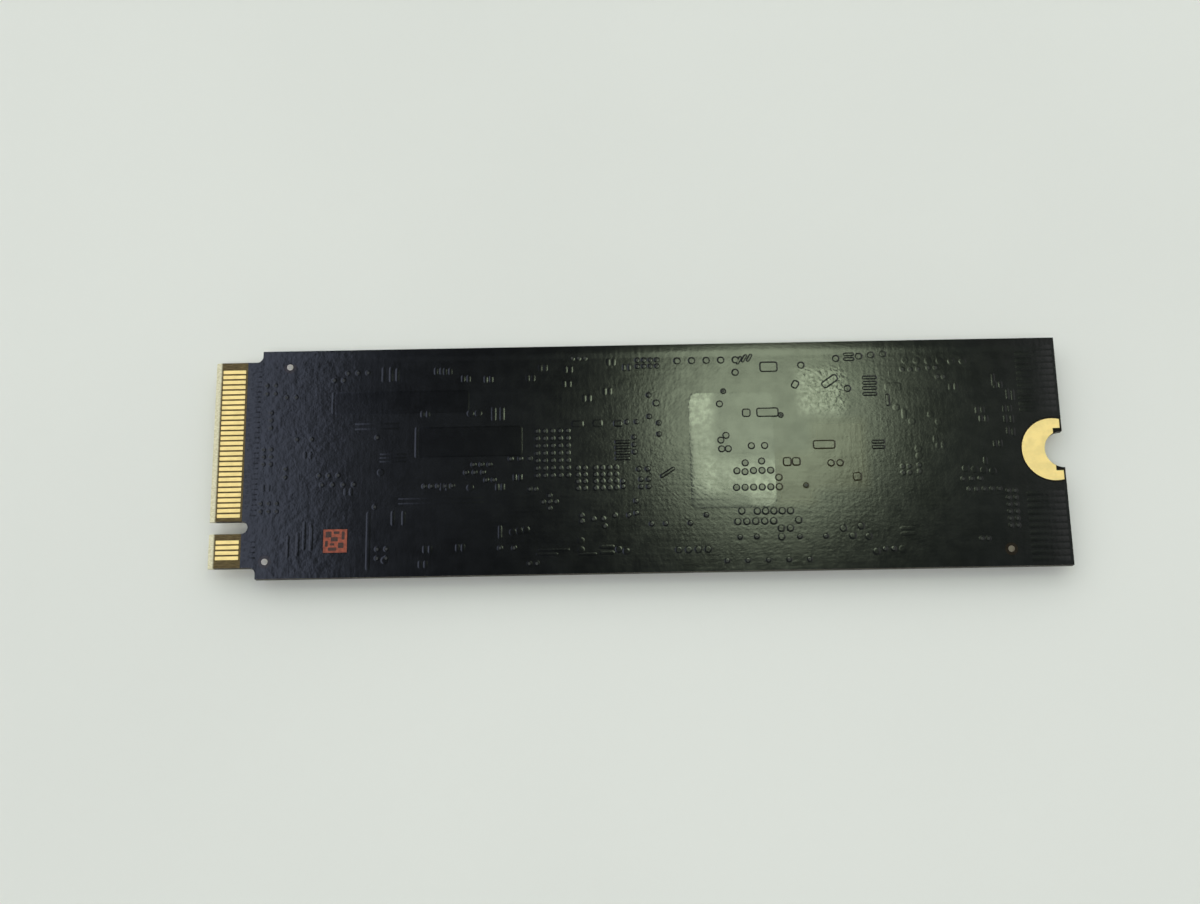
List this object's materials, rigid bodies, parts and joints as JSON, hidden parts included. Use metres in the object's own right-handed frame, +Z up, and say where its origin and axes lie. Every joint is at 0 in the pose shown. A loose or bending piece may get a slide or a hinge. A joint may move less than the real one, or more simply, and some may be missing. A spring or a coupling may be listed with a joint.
{
  "type": "m.2 solid state drive",
  "caption": "Slim bare storage card with gold edge contacts beside an offset key notch, black solder mask, and a half-round screw notch in a gold land; packages below.",
  "frame": {"origin": "middle of the card, on the surface that the card lies on", "axes": "+X along the card from the edge contacts to the screw notch, +Y across it away from the key notch, +Z up out of the bare side"},
  "size_m": [0.08, 0.022, 0.0021],
  "materials": {
    "laminate": "woven glass and resin, cut edges raw",
    "solder_mask": "black lacquer, satin",
    "contact_gold": "gold plate, satin",
    "tinned_metal": "matt tin",
    "bare_copper": "copper with a clear coat",
    "package_mould": "moulded, matt",
    "package_substrate": "sawn edge, matt",
    "solder": "reflowed solder",
    "inductor_core": "pressed powder, matt",
    "capacitor_case": "moulded, matt",
    "capacitor_ceramic": "fired, satin",
    "resistor_coat": "glass coat, satin",
    "dark_ceramic": "fired, matt",
    "plated_lid": "plated sheet, satin"
  },
  "bodies": {
    "root": {"bulk_capacitor_bodies": "capacitor_case", "bulk_capacitor_terminals": "tinned_metal", "cache_memory_cap": "package_mould", "cache_memory_solder_balls": "solder", "cache_memory_substrate": "package_substrate", "circuit_board": "laminate", "code_patch": "bare_copper", "contact_fingers_bare_side": "contact_gold", "contact_fingers_component_side": "contact_gold", "controller_cap": "package_mould", "controller_solder_balls": "solder", "controller_substrate": "package_substrate", "coupling_capacitor_bodies": "capacitor_ceramic", "coupling_capacitor_ends": "tinned_metal", "crystal_base": "dark_ceramic", "crystal_lid": "plated_lid", "fiducials_bare_side": "tinned_metal", "fiducials_component_side": "tinned_metal", "flash_1_cap": "package_mould", "flash_1_solder_balls": "solder", "flash_1_substrate": "package_substrate", "flash_2_cap": "package_mould", "flash_2_solder_balls": "solder", "flash_2_substrate": "package_substrate", "inductor_bodies": "inductor_core", "inductor_terminals": "tinned_metal", "large_capacitor_bodies": "capacitor_ceramic", "large_capacitor_ends": "tinned_metal", "load_switch_body": "package_mould", "load_switch_pads": "tinned_metal", "power_chip_body": "package_mould", "power_chip_pads": "tinned_metal", "resistor_bodies": "resistor_coat", "resistor_ends": "tinned_metal", "screw_land_bare_side": "contact_gold", "screw_land_component_side": "contact_gold", "small_capacitor_bodies": "capacitor_ceramic", "small_capacitor_ends": "tinned_metal", "solder_mask_bare_side": "solder_mask", "solder_mask_component_side": "solder_mask", "temperature_sensor_body": "package_mould", "temperature_sensor_pads": "tinned_metal"}
  },
  "joints": []
}
